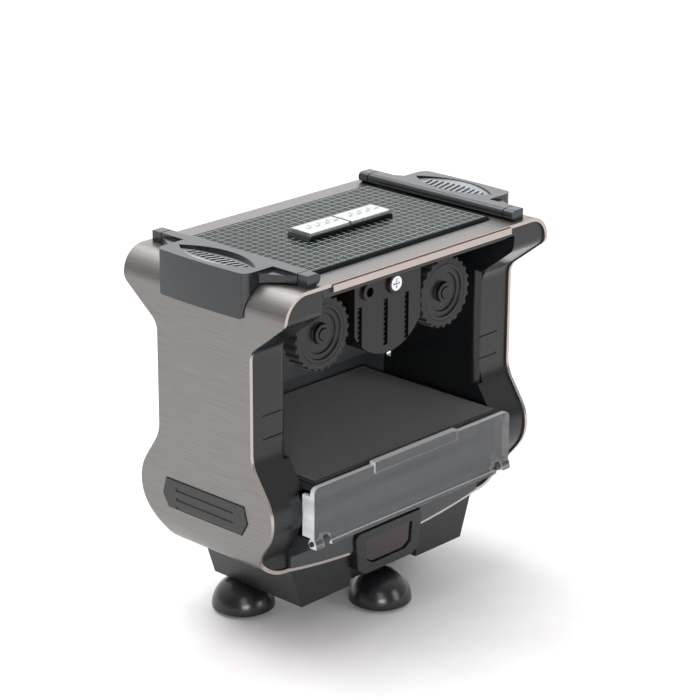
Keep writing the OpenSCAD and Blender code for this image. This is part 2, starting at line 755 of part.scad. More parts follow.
// ---- base ----
module base_shell() {
  color([0.13, 0.13, 0.14])
  difference() {
    union() {
      difference() {
        intersection() {
          box(-base_l / 2, base_l / 2, -wy + 0.6, wy - 0.6, 11.4, belly_z + 6);
          xz(-40, 40)
            polygon([[-base_l / 2, belly_z + 9], [base_l / 2, belly_z + 9], [base_l / 2 - 7, 11.4],
                     [-base_l / 2 + 7, 11.4]]);
        }
        xz(-60, 60) band_outline(-0.02);
      }
    }
    box(-base_l / 2 + 10, base_l / 2 - 10, -wy + 6, wy - 3, 13.2, belly_z - 1.4);
    box(-latch_w / 2 - 0.1, latch_w / 2 + 0.1, -wy - 3, -wy + 4.1, 5, 60);
    for (s = [-1, 1]) {
      zcyl(s * screw_x, 0, 1.4, 5, 40);
      zcyl(s * screw_x, 0, 2.6, 5, 12.8);
    }
  }
}
module latch_outline(e) {
  translate([0, latch_z])
    polygon([[-latch_w / 2 + e, latch_h / 2 - e - 1.4], [-latch_w / 2 + 1.4 + e, latch_h / 2 - e],
             [latch_w / 2 - 1.4 - e, latch_h / 2 - e], [latch_w / 2 - e, latch_h / 2 - e - 1.4],
             [latch_w / 2 - e - 1, -latch_h / 2 + e + 2.6], [latch_w / 2 - e - 4.5, -latch_h / 2 + e],
             [-latch_w / 2 + e + 4.5, -latch_h / 2 + e], [-latch_w / 2 + e + 1, -latch_h / 2 + e + 2.6]]);
}
module latch_window(e) {
  translate([0, latch_z])
    polygon([[-11.2 - e, 4.3 + e], [11.2 + e, 4.3 + e], [10.6 + e, -2.6], [7.6 + e, -4.2 - e],
             [-7.6 - e, -4.2 - e], [-10.6 - e, -2.6]]);
}
module latch_frame() {
  color([0.27, 0.28, 0.29])
  difference() {
    union() {
      xz(latch_y, -wy + 1.6) latch_outline(0);
      xz(-wy + 1.5, -wy + 4) translate([0, latch_z])
        polygon([[-latch_w / 2, 6.4], [latch_w / 2, 6.4], [latch_w / 2, -2], [9, -latch_h / 2 + 0.4],
                 [-9, -latch_h / 2 + 0.4], [-latch_w / 2, -2]]);
    }
    xz(latch_y - 1, -wy + 2.4) latch_window(0.25);
    ycyl(0, latch_z, 3.2, -wy + 1, -wy + 3.4);
  }
}
module latch_button() {
  color([0.24, 0.2, 0.2])
  difference() {
    union() {
      xz(latch_y + 0.7, latch_y + 2.3) latch_window(-0.05);
      ycyl(0, latch_z, 1.92, latch_y + 2.2, -wy + 3.3 - button_travel);
    }
  }
}
module latch_spring() {
  color([0.7, 0.7, 0.72])
  translate([0, -wy + 3.4, latch_z]) rotate([90, 0, 0])
    for (i = [0:1]) translate([0, 0, 0.36 + i * 0.6])
      rotate_extrude($fn = 32) translate([2.3, 0]) circle(r = 0.34, $fn = 12);
}
module circuit_board() {
  color([0.1, 0.35, 0.2])
  box(-24, 24, -12, 12, belly_z + 3.2, belly_z + 4.6);
}
module board_parts() {
  color([0.15, 0.15, 0.16]) {
    box(-6, 4, -4, 4, belly_z + 4.6, belly_z + 6.4);
    zcyl(14, 4, 3, belly_z + 4.6, belly_z + 11);
    zcyl(14, -6, 2.4, belly_z + 4.6, belly_z + 9.4);
    box(-20, -14, -8, 8, belly_z + 4.6, belly_z + 8);
  }
}
module front_foot() {
  color([0.07, 0.07, 0.08])
  intersection() {
    translate([0, -(wy - 2), 0]) rotate_extrude($fn = 64)
      intersection() {
        translate([0, 1.4]) circle(r = foot_r + 0.6);
        translate([0, 1.2]) square([foot_r + 1, 10.2]);
      }
    box(-40, 40, -40, 40, 1.2, 11.4);
  }
}
module rear_feet() {
  color([0.07, 0.07, 0.08])
  for (s = [-1, 1])
    translate([s * (base_l / 2 - 11), foot_y, 0]) rotate_extrude($fn = 64)
      intersection() {
        translate([0, 1.4]) circle(r = foot_r + 0.6);
        translate([0, 1.2]) square([foot_r + 1, 10.2]);
      }
}
module foot_pads() {
  color([0.2, 0.2, 0.2]) {
    zcyl(0, -(wy - 2), foot_r - 1.6, 0, 1.2);
    for (s = [-1, 1]) zcyl(s * (base_l / 2 - 11), foot_y, foot_r - 1.6, 0, 1.2);
  }
}
module base_screws() {
  color([0.8, 0.8, 0.82])
  for (s = [-1, 1])
    difference() {
      union() {
        zcyl(s * screw_x, 0, 1.2, 12, belly_z + 5);
        zcyl(s * screw_x, 0, 2.3, 11.6, 12.8);
      }
      box(s * screw_x - 1.4, s * screw_x + 1.4, -0.25, 0.25, 10, 12.2);
      box(s * screw_x - 0.25, s * screw_x + 0.25, -1.4, 1.4, 10, 12.2);
    }
}

steel_band();
top_deck();
grid_plate();
badge_plinth();
badge_bar_left();
badge_bar_right();
side_frame_left();
side_frame_right();
lower_insert_left();
lower_insert_right();
lid_left();
lid_right();
lid_pins();
hinge_blocks();
battery_cells();
battery_springs();
battery_contacts();
rear_wall();
mechanism_frame();
motor_pod();
pod_screws();
motor();
motor_pinion();
idler_gear_left();
idler_gear_right();
idler_pins();
feed_shaft_left();
feed_shaft_right();
feed_hubs_left();
feed_hubs_right();
feed_tyres_left();
feed_tyres_right();
drive_gear_left();
drive_gear_right();
card_platform();
platform_pad();
platform_springs();
lower_tray();
clear_gate();
gate_pins();
base_shell();
latch_frame();
latch_button();
latch_spring();
circuit_board();
board_parts();
front_foot();
rear_feet();
foot_pads();
base_screws();
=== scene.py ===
"""Looks of a tabletop card shuffler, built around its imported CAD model."""

import json
import math

import bmesh
import bpy
from mathutils import Matrix, Vector

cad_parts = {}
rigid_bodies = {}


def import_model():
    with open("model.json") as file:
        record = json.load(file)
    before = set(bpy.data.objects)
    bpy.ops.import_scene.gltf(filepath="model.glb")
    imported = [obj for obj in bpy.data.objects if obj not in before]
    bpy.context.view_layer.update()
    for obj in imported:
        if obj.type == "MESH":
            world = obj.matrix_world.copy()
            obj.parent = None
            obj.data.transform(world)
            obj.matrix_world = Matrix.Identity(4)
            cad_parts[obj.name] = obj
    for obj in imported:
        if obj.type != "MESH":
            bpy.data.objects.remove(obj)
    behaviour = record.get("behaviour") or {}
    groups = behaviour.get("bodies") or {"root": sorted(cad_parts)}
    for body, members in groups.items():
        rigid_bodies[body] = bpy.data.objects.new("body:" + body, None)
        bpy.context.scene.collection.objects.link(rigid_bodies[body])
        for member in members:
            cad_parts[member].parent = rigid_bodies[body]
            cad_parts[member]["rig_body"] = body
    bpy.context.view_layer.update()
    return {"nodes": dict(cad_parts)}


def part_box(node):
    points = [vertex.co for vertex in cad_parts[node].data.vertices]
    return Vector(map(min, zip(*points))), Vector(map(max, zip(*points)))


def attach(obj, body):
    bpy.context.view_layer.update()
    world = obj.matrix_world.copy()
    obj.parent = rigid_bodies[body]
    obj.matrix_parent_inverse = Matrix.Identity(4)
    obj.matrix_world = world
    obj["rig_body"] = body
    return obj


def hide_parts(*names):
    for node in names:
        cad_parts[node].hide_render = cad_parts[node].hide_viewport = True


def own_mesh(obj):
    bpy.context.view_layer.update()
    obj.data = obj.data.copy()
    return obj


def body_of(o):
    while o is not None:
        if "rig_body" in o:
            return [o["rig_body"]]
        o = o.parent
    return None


bl_info = {
    "name": "Card shuffler looks",
    "version": (1, 0, 0),
    "blender": (4, 5, 0),
    "location": "View3D > Sidebar > Shuffler",
    "description": "Finishes the pieces of a card shuffler and sets its studio",
    "category": "Object",
}

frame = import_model()
MM = 0.001

# where the thumb scoops lie in the lids, in millimetres from the middle and down from the lid's top
SCOOP_X = (49, 62)
SCOOP_HALF_LENGTH = 17.5
SCOOP_DEPTH = (0.1, 4)

# the printed grid, in millimetres: its margin, the lines' thickness and the height of their middle
GRID_MARGIN = 1.2
LINE_THICKNESS = 0.02
LINE_LIFT = 0.005

# the badge bars' relief, in millimetres: a bar's face, which is all within the skin, is sunk, and
# the studs stand up from it and end a little under the bar's full height
BADGE_SINK = 0.5
BADGE_SKIN = 0.1
STUD_COUNT = 7
STUD_INSET = 2.8
STUD_RADIUS = 1.0
STUD_HEIGHT = 0.7
STUD_STAGGER = 0.8
STUD_DROP = 0.05
# the studs' top as a share of the foot, every other stud's turn in radians, and their stretch
STUD_TAPER = 0.6
STUD_TURN = 1.2
STUD_STRETCH = (1.5, 0.75)

# a face of the gate under this area, in square millimetres, is an edge if it faces neither front
# nor rear
# those edge faces get a painted highlight, a paler colour than the pane
GATE_EDGE_AREA = 200

# the studio: the floor and the camera's place in metres, its angles in degrees
FLOOR_RADIUS = 6.0
CAMERA_PLACE = (-0.55583, -0.52655, 0.35897)
CAMERA_YAW, CAMERA_PITCH, CAMERA_ROLL = 46.79, 19.71, 0.30


# ---------------------------------------------------------------- helpers

def linear(colour):
    """sRGB hex such as '#a0b1c2' to a linear RGBA tuple."""
    out = []
    for i in (1, 3, 5):
        c = int(colour[i:i + 2], 16) / 255
        out.append(c / 12.92 if c <= 0.04045 else ((c + 0.055) / 1.055) ** 2.4)
    return (*out, 1.0)


def shade(colour, factor):
    """A hex colour made darker or lighter, as a linear RGBA tuple."""
    return (*(min(1.0, c * factor) for c in linear(colour)[:3]), 1.0)


def add(tree, kind, sockets=None, stops=(), **props):
    """Adds a node with its settings; a socket value may be an output to link from.

    The stops are a colour ramp's positions and linear colours.
    """
    n = tree.nodes.new(kind)
    for key, value in props.items():
        setattr(n, key, value)
    for key, value in (sockets or {}).items():
        s = n.inputs[key]
        if isinstance(value, bpy.types.NodeSocket):
            tree.links.new(value, s)
        else:
            s.default_value = value
    if stops:
        band = n.color_ramp.elements
        while len(band) < len(stops):
            band.new(0.5)
        for e, (place, colour) in zip(band, stops):
            e.position = place
            e.color = colour
    return n


def start_material(name, **shader):
    """A material with one Principled shader, and its tree, shader and object coordinates."""
    mat = bpy.data.materials.new(name)
    mat.use_nodes = True
    tree = mat.node_tree
    tree.nodes.clear()
    bsdf = add(tree, "ShaderNodeBsdfPrincipled", shader)
    out = add(tree, "ShaderNodeOutputMaterial")
    tree.links.new(bsdf.outputs[0], out.inputs["Surface"])
    coords = add(tree, "ShaderNodeTexCoord")
    return mat, tree, bsdf, coords


def cells(tree, coords, size, detail=3.0, rough=0.6):
    """An uneven pattern on the object, with cells of this size in millimetres along X, Y and Z."""
    place = add(tree, "ShaderNodeMapping", {
        "Vector": coords.outputs["Object"], "Scale": tuple(1 / (v * MM) for v in size)})
    return add(tree, "ShaderNodeTexNoise", {
        "Vector": place.outputs[0], "Scale": 1.0, "Detail": detail, "Roughness": rough}).outputs["Fac"]


def coat(tree, bsdf, cloud, stops, grit, shine, relief):
    """Colours a shader by one pattern, and gives it gloss and relief by another.

    The stops are positions and linear colours, shine is the lowest and highest roughness, and
    relief is a strength and a height in millimetres. Without shine the roughness stays as it is.
    """
    tone = add(tree, "ShaderNodeValToRGB", {"Fac": cloud}, stops)
    tree.links.new(tone.outputs[0], bsdf.inputs["Base Color"])
    if shine:
        gloss = add(tree, "ShaderNodeMapRange", {"Value": grit, "To Min": shine[0], "To Max": shine[1]})
        tree.links.new(gloss.outputs[0], bsdf.inputs["Roughness"])
    ridges = add(tree, "ShaderNodeBump", {
        "Height": grit, "Strength": relief[0], "Distance": relief[1] * MM})
    tree.links.new(ridges.outputs[0], bsdf.inputs["Normal"])


# -------------------------------------------------------------- materials

def brushed_steel(light, dark):
    """Stainless strip brushed along its depth: long fine streaks, and a painted highlight on its edges."""
    mat, tree, bsdf, coords = start_material("brushed_stainless_steel", Metallic=1.0, Anisotropic=0.3)
    # brush lines are about 0.05 mm wide; they are drawn 0.25 mm wide, so that they show
    fine = cells(tree, coords, (0.25, 14.3, 0.25), 2.0, 0.7)
    broad = cells(tree, coords, (1.43, 83.3, 1.43), 3.0, 0.6)
    both = add(tree, "ShaderNodeMix", {0: 0.22, 2: fine, 3: broad}).outputs[0]
    tone = add(tree, "ShaderNodeValToRGB", {"Fac": both}, [(0.28, linear(dark)), (0.7, linear(light))])
    # the strip's edges carry a painted highlight: paler than its faces, and palest where they round over
    axis = add(tree, "ShaderNodeSeparateXYZ", {0: coords.outputs["Normal"]})
    side = add(tree, "ShaderNodeMath", {0: axis.outputs["Y"]}, operation="ABSOLUTE")
    edge = add(tree, "ShaderNodeMapRange", {"Value": side.outputs[0], "From Min": 0.3, "From Max": 0.5})
    painted_edge_highlight = add(tree, "ShaderNodeValToRGB", {"Fac": side.outputs[0]},
              [(0.62, linear("#fff6f0")), (0.8, linear("#b3a8a2"))])
    mix = add(tree, "ShaderNodeMix", {0: edge.outputs[0], 6: tone.outputs[0], 7: painted_edge_highlight.outputs[0]},
              data_type="RGBA")
    tree.links.new(mix.outputs[2], bsdf.inputs["Base Color"])
    rough = add(tree, "ShaderNodeMapRange", {"Value": both, "To Min": 0.34, "To Max": 0.44})
    polish = add(tree, "ShaderNodeMix", {0: edge.outputs[0], 2: rough.outputs[0], 3: 0.22})
    tree.links.new(polish.outputs[0], bsdf.inputs["Roughness"])
    ridges = add(tree, "ShaderNodeBump", {"Height": both, "Strength": 0.12, "Distance": 0.05 * MM})
    tree.links.new(ridges.outputs[0], bsdf.inputs["Normal"])
    return mat


def moulded_plastic(name, colour, rough, grain=0.35, ior=1.53):
    """Moulded plastic, or a smooth coat: even colour, and the fine grain of its tool."""
    mat, tree, bsdf, coords = start_material(name, IOR=ior)
    # a real grain is about 0.1 mm; it is drawn at 0.36 mm, so that it shows
    grit = cells(tree, coords, (0.357, 0.357, 0.357), 2.0, 0.6)
    cloud = cells(tree, coords, (16.7, 16.7, 16.7), 3.0, 0.5)
    coat(tree, bsdf, cloud, [(0.3, shade(colour, 0.86)), (0.7, shade(colour, 1.14))],
         grit, (rough - 0.06, rough + 0.08), (grain, 0.04))
    return mat


def fine_metal(name, colour, rough, mark=1.11):
    """A small metal part, plated, blackened, drawn or turned, with faint marks of this size in mm."""
    mat, tree, bsdf, coords = start_material(name, Metallic=1.0)
    marks = cells(tree, coords, (mark, mark, mark), 3.0, 0.6)
    coat(tree, bsdf, marks, [(0.35, shade(colour, 0.8)), (0.65, linear(colour))],
         marks, (rough - 0.05, rough + 0.1), (0.08, 0.05))
    return mat


def soft_rubber(name, colour):
    """Moulded rubber: matt, and slightly dusty on its high spots."""
    mat, tree, bsdf, coords = start_material(name, **{
        "IOR": 1.52, "Sheen Weight": 0.15, "Sheen Roughness": 0.5})
    dust = cells(tree, coords, (0.77, 0.77, 0.77), 4.0, 0.6)
    coat(tree, bsdf, dust, [(0.4, linear(colour)), (0.75, shade(colour, 1.9))],
         dust, (0.6, 0.85), (0.4, 0.06))
    return mat


def needle_felt(name, colour):
    """Short dark felt: tangled fibres 0.3 to 0.4 mm apart, with a soft sheen."""
    mat, tree, bsdf, coords = start_material(name, **{
        "Roughness": 0.92, "Sheen Weight": 0.5, "Sheen Roughness": 0.4})
    fibre = cells(tree, coords, (0.3125, 0.435, 0.385), 5.0, 0.75)
    patch = cells(tree, coords, (5.88, 5.88, 5.88), 2.0, 0.5)
    both = add(tree, "ShaderNodeMix", {0: 0.3, 2: fibre, 3: patch}).outputs[0]
    coat(tree, bsdf, both, [(0.36, shade(colour, 0.6)), (0.66, shade(colour, 1.5))],
         fibre, None, (0.7, 0.2))
    return mat


def smoky_acrylic(name, colour, clear):
    """Moulded clear acrylic, tinted, with faint flow lines; clear is the share that is seen through."""
    mat, tree, bsdf, coords = start_material(name, IOR=1.49, Alpha=1 - clear)
    flow = cells(tree, coords, (167, 167, 3.125), 1.0, 0.4)
    coat(tree, bsdf, flow, [(0.3, shade(colour, 0.8)), (0.7, shade(colour, 1.15))],
         flow, (0.04, 0.09), (0.03, 0.1))
    return mat


def glossy_sheet(colour):
    """Polished dark acrylic sheet, with the slight ripple that stuck-down sheet has."""
    # acrylic has an IOR of 1.49; a lower one keeps the sheet dark at a low angle
    mat, tree, bsdf, coords = start_material("polished_dark_acrylic", IOR=1.12)
    cloud = cells(tree, coords, (11.1, 11.1, 11.1), 2.0, 0.5)
    wave = cells(tree, coords, (22.2, 22.2, 22.2), 2.0, 0.5)
    coat(tree, bsdf, cloud, [(0.3, shade(colour, 0.85)), (0.7, shade(colour, 1.15))],
         wave, (0.12, 0.2), (0.05, 0.5))
    return mat


MATERIALS = {}


# ------------------------------------------------------------ mesh makers

def put(name, mesh, mat, body):
    """A finished piece at the origin, riding on its body."""
    o = bpy.data.objects.new(name, mesh)
    bpy.context.scene.collection.objects.link(o)
    mesh.materials.clear()
    mesh.materials.append(MATERIALS[mat])
    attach(o, body)
    return o


def rounded_copy(node, mat, width=0.0, segments=2, angle=32):
    """A merged copy of a CAD node, standing for that node.

    Edges that turn by more than the angle, in degrees, are rounded by the width, in
    millimetres, or stay sharp without one.
    """
    source = frame["nodes"][node]
    mesh = source.data.copy()
    bm = bmesh.new()
    bm.from_mesh(mesh)
    bmesh.ops.remove_doubles(bm, verts=bm.verts, dist=2e-6)
    bmesh.ops.dissolve_degenerate(bm, edges=bm.edges, dist=1e-6)
    bmesh.ops.dissolve_limit(bm, angle_limit=math.radians(0.6), verts=bm.verts, edges=bm.edges)
    for e in bm.edges:
        e.smooth = width > 0 or e.calc_face_angle(0) < math.radians(angle)
    bm.to_mesh(mesh)
    bm.free()
    for p in mesh.polygons:
        p.use_smooth = True
    o = put(node + "_finished", mesh, mat, body_of(source)[0])
    if width > 0:
        m = o.modifiers.new("rounded_edges", "BEVEL")
        m.width = width * MM
        m.segments = segments
        m.limit_method = "ANGLE"
        m.angle_limit = math.radians(angle)
        m.use_clamp_overlap = True
        m.harden_normals = True
    w = o.modifiers.new("even_shading", "WEIGHTED_NORMAL")
    w.keep_sharp = True
    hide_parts(node)
    return o


def dress(node, mat):
    """A CAD node that keeps its mesh and gets a finish."""
    o = frame["nodes"][node]
    for s in o.material_slots:
        s.material = MATERIALS[mat]
    if not o.material_slots:
        o.data.materials.append(MATERIALS[mat])
    return o


def size_tree(name, sizes, counts):
    """An empty Geometry Nodes tree with named size and count inputs, and its input node."""
    tree = bpy.data.node_groups.new(name, "GeometryNodeTree")
    tree.is_modifier = True
    for key in sizes:
        tree.interface.new_socket(key, in_out="INPUT", socket_type="NodeSocketFloat")
    for key in counts:
        tree.interface.new_socket(key, in_out="INPUT", socket_type="NodeSocketInt")
    tree.interface.new_socket("Geometry", in_out="OUTPUT", socket_type="NodeSocketGeometry")
    return tree, add(tree, "NodeGroupInput").outputs


def end_tree(tree, geometry, mat):
    """Realises the instances, sets the finish and closes the tree."""
    real = add(tree, "GeometryNodeRealizeInstances", {"Geometry": geometry})
    done = add(tree, "GeometryNodeSetMaterial", {"Geometry": real.outputs[0], "Material": MATERIALS[mat]})
    add(tree, "NodeGroupOutput", {0: done.outputs[0]})


def grow(name, tree, values, mat, body):
    """Runs a tree once and keeps its result as a plain mesh that rides on a body."""
    o = bpy.data.objects.new(name, bpy.data.meshes.new(name + "_seed"))
    bpy.context.scene.collection.objects.link(o)
    m = o.modifiers.new(name, "NODES")
    m.node_group = tree
    for item in tree.interface.items_tree:
        if item.in_out == "INPUT":
            m[item.identifier] = values[item.name]
    made = bpy.data.meshes.new_from_object(o.evaluated_get(bpy.context.evaluated_depsgraph_get()))
    bpy.data.objects.remove(o)
    if not made.vertices:
        raise RuntimeError(name + " grew nothing")
    return put(name, made, mat, body)


# ---------------------------------------------------------- property groups

class ShufflerFinish(bpy.types.PropertyGroup):
    steel_light: bpy.props.StringProperty(name="Steel, light streaks", default="#898684",
                                          description="sRGB hex of the brighter brush streaks")
    steel_dark: bpy.props.StringProperty(name="Steel, dark streaks", default="#757271",
                                         description="sRGB hex of the darker brush streaks")
    frame_colour: bpy.props.StringProperty(name="Side frames", default="#121416",
                                           description="sRGB hex of the black side frames")
    lid_colour: bpy.props.StringProperty(name="Corner lids", default="#1c2126",
                                         description="sRGB hex of the slate-grey lids")
    plate_colour: bpy.props.StringProperty(name="Grid plate", default="#151b1c",
                                           description="sRGB hex of the glossy top plate")
    line_colour: bpy.props.StringProperty(name="Grid lines", default="#a3aeac",
                                          description="sRGB hex of the printed lines")
    gate_colour: bpy.props.StringProperty(name="Gate", default="#56585b",
                                          description="sRGB hex of the smoky gate")
    latch_colour: bpy.props.StringProperty(name="Latch frame", default="#202224",
                                           description="sRGB hex of the latch frame")


class ShufflerSizes(bpy.types.PropertyGroup):
    edge_round: bpy.props.FloatProperty(name="Edge rounding", default=0.7, min=0.05, max=1.5,
                                        description="Radius of moulded edges in millimetres")
    line_pitch: bpy.props.FloatProperty(name="Grid pitch", default=3.0, min=1.0, max=10.0,
                                        description="Spacing of the printed lines in millimetres")
    line_width: bpy.props.FloatProperty(name="Grid line width", default=0.18, min=0.05, max=1.0,
                                        description="Width of the printed lines in millimetres")


class StudioSettings(bpy.types.PropertyGroup):
    room_level: bpy.props.FloatProperty(name="Room light", default=1.55, min=0.0,
                                        description="Brightness of the soft room light")
    key_power: bpy.props.FloatProperty(name="Key light", default=10.5, min=0.0, subtype="POWER",
                                       description="Power of the large overhead softbox")
    fill_power: bpy.props.FloatProperty(name="Fill light", default=5.0, min=0.0, subtype="POWER",
                                        description="Power of the front fill")
    lens: bpy.props.FloatProperty(name="Lens", default=127.1, min=10.0, unit="CAMERA",
                                  description="Focal length on a 36 mm sensor")


# ----------------------------------------------------------------- operators

class SHUFFLER_OT_finishes(bpy.types.Operator):
    """Mixes every finish that the pieces use"""
    bl_idname = "shuffler.finishes"
    bl_label = "Finishes"

    def execute(self, context):
        s = context.scene.shuffler_finish
        # after the colour: roughness, strength of the grain and IOR. An IOR under 1.53, the
        # usual one for these plastics, keeps a dark part dark at a low angle
        MATERIALS.update({
            # the strip, with its streaks, broad grey highlights and a painted highlight on its edges
            "steel": brushed_steel(s.steel_light, s.steel_dark),
            # satin blacks of the body, from softly shining frames to a matt deck
            "frame": moulded_plastic("satin_black_abs", s.frame_colour, 0.27, 0.15, 1.42),
            # the inner black is made lighter than the frames' black: painted light inside the chamber
            "inner": moulded_plastic("inner_abs_painted_lighter", "#2a2d30", 0.28, 0.15),
            # the rear wall is the inner black made lighter: painted light where the lamps barely reach inside
            "wall": moulded_plastic("rear_wall_abs_painted_light", "#3d4246", 0.32, 0.15),
            "deck": moulded_plastic("matt_black_abs", "#17181a", 0.5),
            "insert": moulded_plastic("insert_black_abs", "#131315", 0.3),
            # the top: a dark gloss with thin pale lines, and a quiet silver badge
            "plate": glossy_sheet(s.plate_colour),
            "lines": moulded_plastic("pale_printing_ink", s.line_colour, 0.4, 0.05, 1.3),
            "plinth": moulded_plastic("gloss_black_abs", "#08090a", 0.14, 0.05),
            "badge": fine_metal("satin_nickel_plate", "#d6d9d9", 0.42, 0.667),
            # the lids' clear blue-grey shine, and a scoop painted paler, a painted reflection of the bright
            # sky
            "lid": moulded_plastic("slate_grey_abs", s.lid_colour, 0.18, 0.06),
            "scoop": moulded_plastic("scoop_abs_painted_reflection", "#8b9094", 0.26, 0.06),
            # the feed works: brownish nylon, ribbed rubber and small bright metals
            "pod": moulded_plastic("brown_black_nylon", "#120f0e", 0.3, 0.2, 1.38),
            "hub": moulded_plastic("grey_black_nylon", "#0d0f11", 0.3, 0.1, 1.4),
            "tyre": soft_rubber("ribbed_tyre_rubber", "#0b0b0c"),
            "acetal": moulded_plastic("natural_acetal", "#dcdbd2", 0.45, 0.1),
            "bright": fine_metal("bright_zinc_plate", "#e6e7ea", 0.14),
            "shaft": fine_metal("black_oxide_steel", "#3a3b3e", 0.3),
            "spring": fine_metal("spring_wire", "#a8a9ab", 0.25),
            "can": fine_metal("drawn_steel_can", "#a6a8aa", 0.34),
            "brass": fine_metal("turned_brass", "#c9a35a", 0.24),
            # the card's bed, which swallows light, and the see-through gate with a painted highlight on its
            # edges
            "felt": needle_felt("dark_needle_felt", "#0c0f11"),
            "gate": smoky_acrylic("smoky_clear_acrylic", s.gate_colour, 0.42),
            "gate_edge_highlight": smoky_acrylic("painted_highlight_acrylic_edge", "#dfe2e4", 0.1),
            # the latch: a satin frame round a small wine-black gloss, over a polished foot
            "latch": moulded_plastic("satin_dark_grey_abs", s.latch_colour, 0.26, 0.1, 1.42),
            "button": moulded_plastic("gloss_red_black_abs", "#281d20", 0.1, 0.03),
            "foot": moulded_plastic("polished_black_abs", "#15171a", 0.24, 0.03),
            "pad_rubber": soft_rubber("foot_pad_rubber", "#222222"),
            # inside, seen only with a lid open or the base off
            "cell": moulded_plastic("cell_wrap_film", "#2d4468", 0.28, 0.1),
            "board": moulded_plastic("green_solder_mask", "#1c5a34", 0.35, 0.1),
            "chip": moulded_plastic("moulded_epoxy", "#1a1a1c", 0.5),
        })
        return {"FINISHED"}


class SHUFFLER_OT_band(bpy.types.Operator):
    """Finishes the brushed steel band"""
    bl_idname = "shuffler.band"
    bl_label = "Steel band"

    def execute(self, context):
        rounded_copy("steel_band", "steel", 0.25, 2, 40)
        return {"FINISHED"}


class SHUFFLER_OT_frames(bpy.types.Operator):
    """Finishes the black side frames, inserts, rear wall and top deck"""
    bl_idname = "shuffler.frames"
    bl_label = "Frames and walls"

    def execute(self, context):
        r = context.scene.shuffler_sizes.edge_round
        for side in ("left", "right"):
            rounded_copy("side_frame_" + side, "frame", r)
            rounded_copy("lower_insert_" + side, "insert", 0.2)
        # the rear wall's lighter charcoal is painted light inside the chamber
        rounded_copy("rear_wall", "wall", r)
        rounded_copy("top_deck", "deck", 0.2)
        rounded_copy("mechanism_frame", "inner", 0.3)
        return {"FINISHED"}


class SHUFFLER_OT_lids(bpy.types.Operator):
    """Finishes the two corner lids with their hinges"""
    bl_idname = "shuffler.lids"
    bl_label = "Corner lids"

    def execute(self, context):
        for side in ("left", "right"):
            lid = rounded_copy("lid_" + side, "lid", 0.6, 4)
            # the up-facing faces of the thumb scoop are painted paler, a painted reflection of the bright
            # sky, so that the scoop and its ridges read against the lid
            lid.data.materials.append(MATERIALS["scoop"])
            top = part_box("lid_" + side)[1].z
            for p in lid.data.polygons:
                x, y, down = abs(p.center.x) / MM, abs(p.center.y) / MM, (top - p.center.z) / MM
                inside = SCOOP_X[0] < x < SCOOP_X[1] and y < SCOOP_HALF_LENGTH
                if inside and SCOOP_DEPTH[0] < down < SCOOP_DEPTH[1] and p.normal.z > 0.1:
                    p.material_index = 1
        rounded_copy("hinge_blocks", "lid", 0.3)
        rounded_copy("lid_pins", "shaft")
        return {"FINISHED"}


def grid_line_tree():
    """Two rows of thin strips that cross: a printed square grid."""
    tree, size = size_tree("grid_lines", ("Length", "Depth", "Pitch", "Width", "Height", "Level"),
                           ("Across", "Along"))
    rows = []
    for count, span, step in (("Across", "Depth", (1, 0)), ("Along", "Length", (0, 1))):
        gap = add(tree, "ShaderNodeCombineXYZ", {
            "X": size["Pitch"] if step[0] else 0.0, "Y": size["Pitch"] if step[1] else 0.0})
        reach = add(tree, "ShaderNodeMath", {0: size[count], 1: 1.0}, operation="SUBTRACT")
        half = add(tree, "ShaderNodeMath", {0: reach.outputs[0], 1: -0.5}, operation="MULTIPLY")
        start = add(tree, "ShaderNodeVectorMath", {0: gap.outputs[0], "Scale": half.outputs[0]},
                    operation="SCALE")
        line = add(tree, "GeometryNodeMeshLine", {"Count": size[count], "Start Location": start.outputs[0],
                                                  "Offset": gap.outputs[0]}, mode="OFFSET")
        box = add(tree, "ShaderNodeCombineXYZ", {
            "X": size["Width"] if step[0] else size[span], "Y": size["Width"] if step[1] else size[span],
            "Z": size["Height"]})
        strip = add(tree, "GeometryNodeMeshCube", {"Size": box.outputs[0]})
        rows.append(add(tree, "GeometryNodeInstanceOnPoints", {
            "Points": line.outputs[0], "Instance": strip.outputs[0]}))
    both = add(tree, "GeometryNodeJoinGeometry")
    for r in rows:
        tree.links.new(r.outputs[0], both.inputs[0])
    lift = add(tree, "ShaderNodeCombineXYZ", {"Z": size["Level"]})
    placed = add(tree, "GeometryNodeTransform", {"Geometry": both.outputs[0], "Translation": lift.outputs[0]})
    end_tree(tree, placed.outputs[0], "lines")
    return tree


